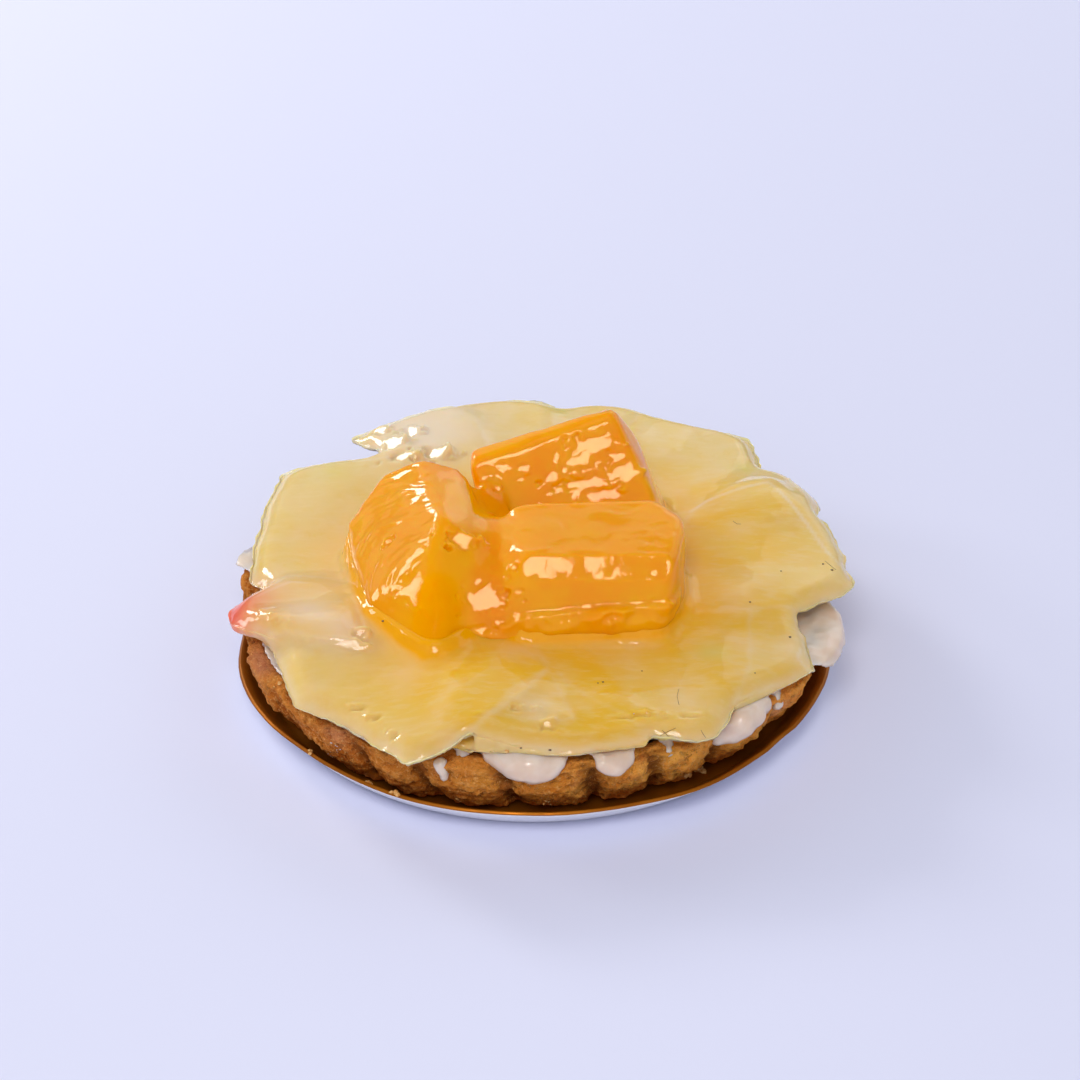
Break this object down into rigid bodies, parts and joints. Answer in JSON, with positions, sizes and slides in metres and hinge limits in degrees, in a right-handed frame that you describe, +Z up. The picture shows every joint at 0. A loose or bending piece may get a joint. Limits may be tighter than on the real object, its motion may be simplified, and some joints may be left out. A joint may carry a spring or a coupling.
{
  "type": "fruit tart",
  "caption": "Round fluted fruit tart in a shallow card tray: shortcrust shell, cream, fanned glazed apple slices and blocks of peach.",
  "frame": {"origin": "middle of the tray's flat underside", "axes": "+Z up, out of the tray; -Y towards the viewer, with the front block of peach on that side; +X to the viewer's right"},
  "size_m": [0.0874, 0.0909, 0.0326],
  "materials": {
    "card_gold": "gold-lined card, white outside",
    "shortcrust": "baked shortcrust pastry, crumbly",
    "cream": "soft cream, slightly glossy",
    "apple": "thin apple under clear glaze, translucent",
    "peach": "peach under clear glaze, translucent"
  },
  "bodies": {
    "root": {"card_tray": "card_gold", "crust_shell": "shortcrust", "cream_filling": "cream", "apple_slice_right_low": "apple", "apple_slice_back_right_low": "apple", "apple_slice_left": "apple", "apple_slice_front_right_low": "apple", "apple_slice_front": "apple", "apple_slice_right_back": "apple", "apple_slice_back_left_low": "apple", "apple_slice_back_right": "apple", "apple_slice_back_left": "apple", "apple_slice_front_right": "apple", "apple_slice_front_top": "apple", "apple_slice_front_left": "apple", "apple_wedge_red_tip": "apple", "apple_slice_right": "apple", "peach_block_left": "peach", "peach_block_front": "peach", "peach_block_back": "peach"}
  },
  "joints": []
}
